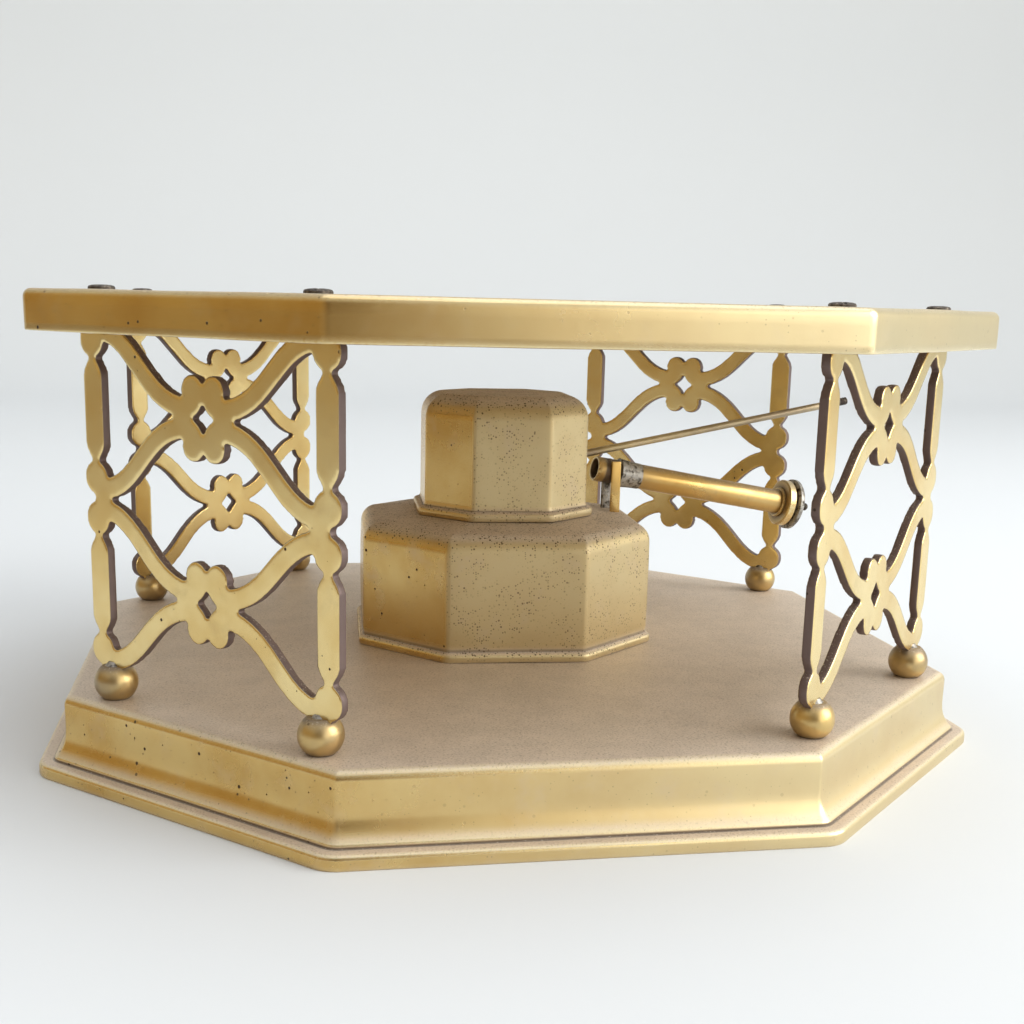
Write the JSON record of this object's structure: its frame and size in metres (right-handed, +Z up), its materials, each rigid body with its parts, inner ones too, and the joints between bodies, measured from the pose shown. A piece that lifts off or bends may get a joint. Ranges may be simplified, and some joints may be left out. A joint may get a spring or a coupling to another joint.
{
  "type": "table stand with spirit burner",
  "caption": "Octagonal brass table stand: pressed base, fretwork panels on ball feet, flat top plate, and a loose spirit burner with a snuffer cap, lifting rod and handle.",
  "frame": {"origin": "centre of the base's underside, on the table", "axes": "+Z up; +X towards the side where the burner's handle points; -Y the front"},
  "size_m": [0.2502, 0.2502, 0.1199],
  "materials": {
    "base_brass": "pressed sheet, satin walls and a dull brown floor",
    "top_brass": "satin polished sheet with fine pits",
    "panel_brass": "cast, filed and polished faces with dark sides",
    "burner_brass": "satin, mottled patina on the upper faces",
    "fitting_brass": "polished, darkened in the corners",
    "rod_brass": "dull drawn wire",
    "screw_steel": "darkened, matte",
    "solder": "rough silver-grey soft solder",
    "wick_cotton": "woven cotton"
  },
  "bodies": {
    "stand": {"base_tray": "base_brass", "top_plate": "top_brass", "base_screws": "screw_steel", "top_screws": "screw_steel", "panel_front_left": "panel_brass", "panel_front_right": "panel_brass", "panel_back_right": "panel_brass", "panel_back_left": "panel_brass", "ball_front_left_left": "panel_brass", "ball_front_left_right": "panel_brass", "ball_front_right_left": "panel_brass", "ball_front_right_right": "panel_brass", "ball_back_right_left": "panel_brass", "ball_back_right_right": "panel_brass", "ball_back_left_left": "panel_brass", "ball_back_left_right": "panel_brass"},
    "burner": {"reservoir_shell": "burner_brass", "reservoir_bottom": "burner_brass", "burner_collar": "fitting_brass", "wick_tube": "fitting_brass", "wick": "wick_cotton", "handle_tube": "fitting_brass", "bracket_front": "fitting_brass", "bracket_back": "fitting_brass", "handle_solder": "solder", "handle_collar": "fitting_brass", "handle_disc": "fitting_brass", "handle_stud": "screw_steel"},
    "cap": {"snuffer_cap": "burner_brass", "rod_boss": "solder", "lifting_rod": "rod_brass", "rod_tip": "screw_steel"}
  },
  "joints": [
    {"name": "burner_draw", "type": "slide", "parent": "stand", "child": "burner", "axis": [0.9985, -0.0541, 0], "range_m": [0, 0.18]},
    {"name": "cap_lift", "type": "slide", "parent": "burner", "child": "cap", "axis": [0, 0, 1], "range_m": [0, 0.024]}
  ]
}
